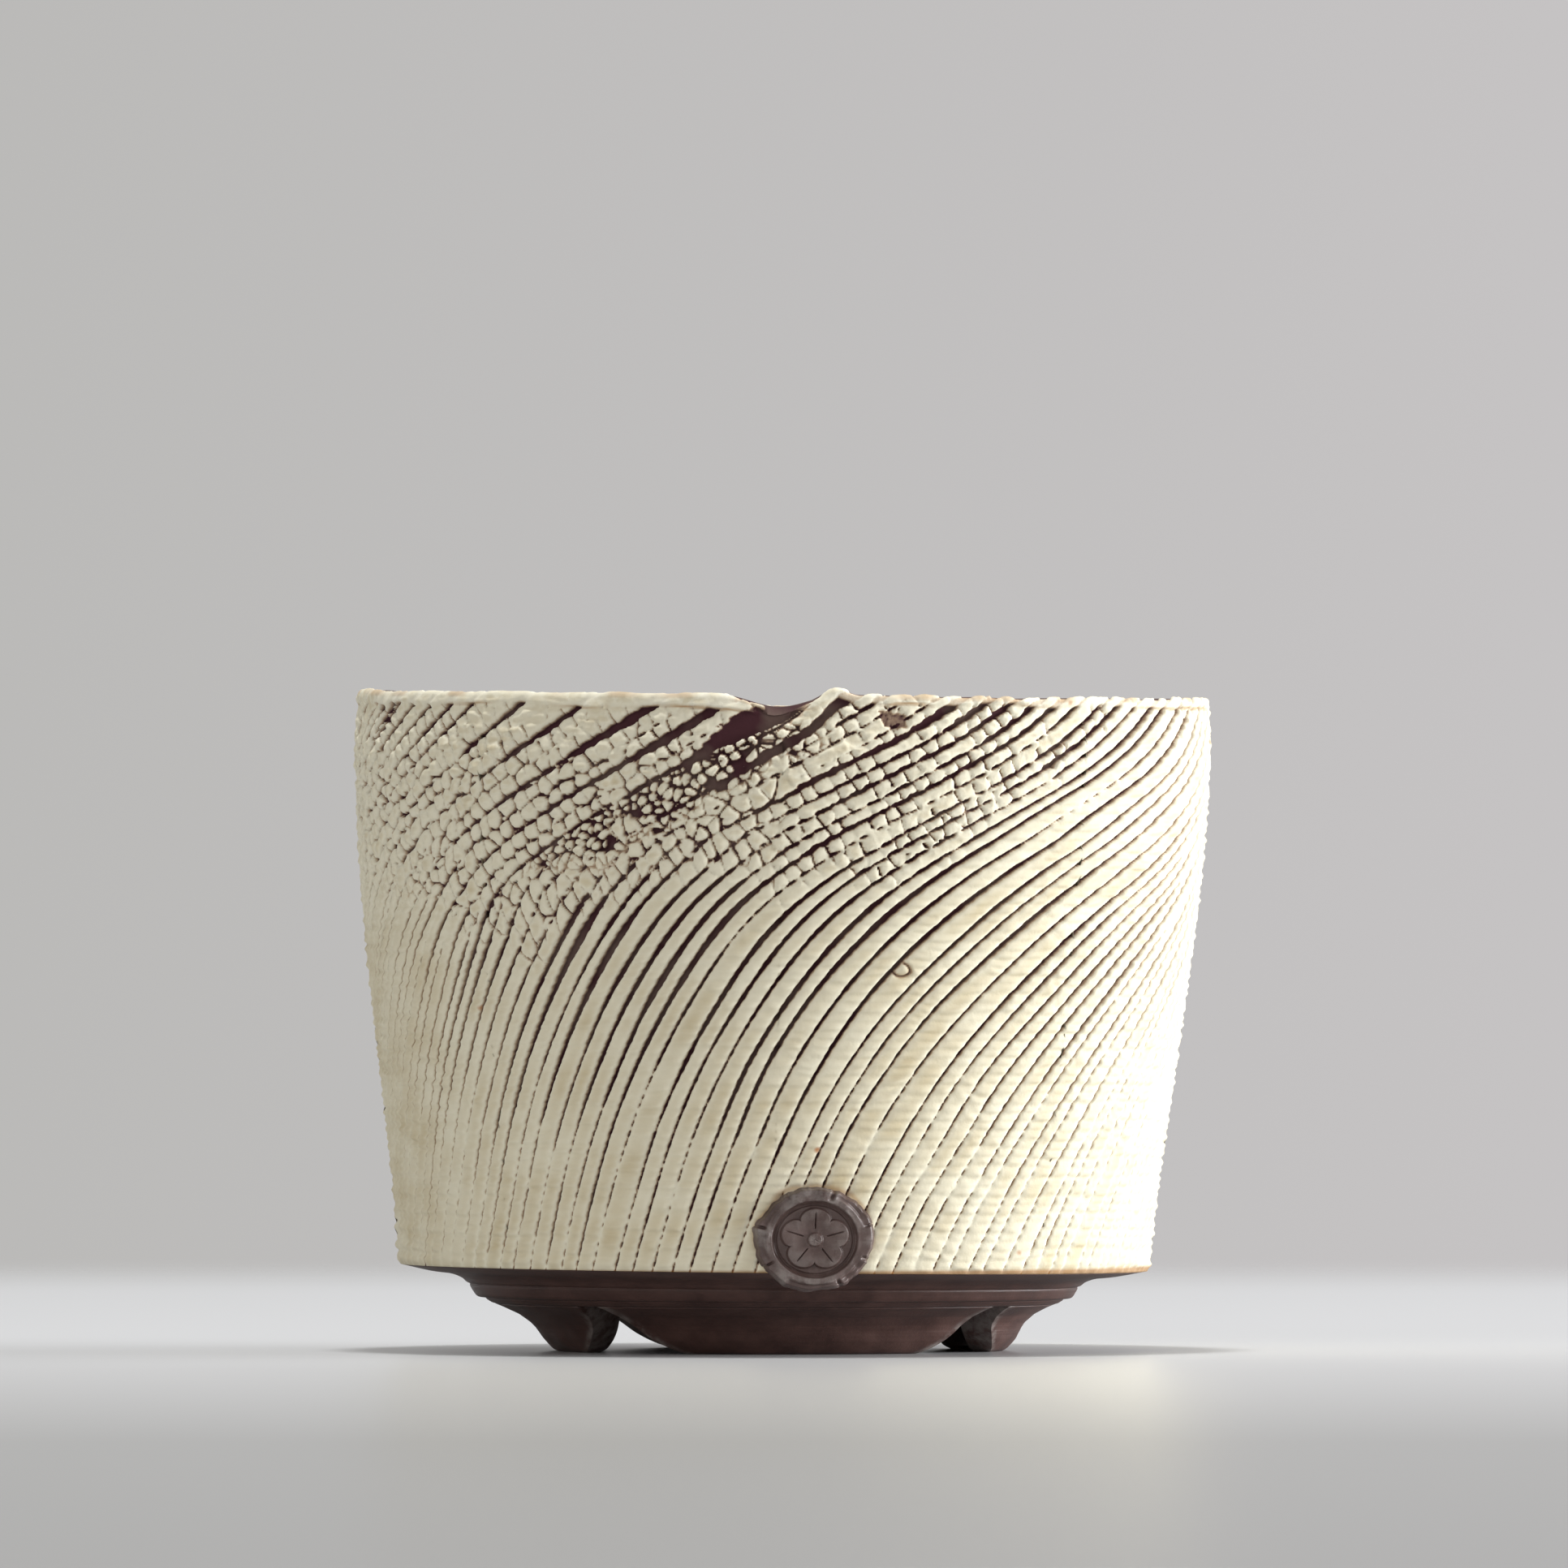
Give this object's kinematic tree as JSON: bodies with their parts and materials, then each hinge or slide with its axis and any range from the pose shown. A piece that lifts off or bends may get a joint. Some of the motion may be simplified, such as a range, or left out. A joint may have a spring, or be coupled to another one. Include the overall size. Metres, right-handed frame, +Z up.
{
  "type": "bonsai pot",
  "caption": "Round pot for a small bonsai: dark clay wall under a torn pale slip, turned collar, cut feet, a drain hole and a pressed seal.",
  "frame": {"origin": "on the pot's axis, on the ground plane that the feet stand on", "axes": "+Z up; -Y to the front, where the seal is; +X to the right of someone facing the front"},
  "size_m": [0.104, 0.104, 0.0799],
  "materials": {
    "dark_clay": "unglazed, semi-matt, fired dark brown",
    "pale_slip": "matt cream slip, torn into ridges and scales",
    "seal_clay": "unglazed, burnished edges"
  },
  "bodies": {
    "root": {"pot_wall": "dark_clay", "slip_coat": "pale_slip", "floor_disc": "dark_clay", "foot_collar": "dark_clay", "foot_front": "dark_clay", "foot_right": "dark_clay", "foot_back": "dark_clay", "foot_left": "dark_clay", "maker_seal": "seal_clay"}
  },
  "joints": []
}
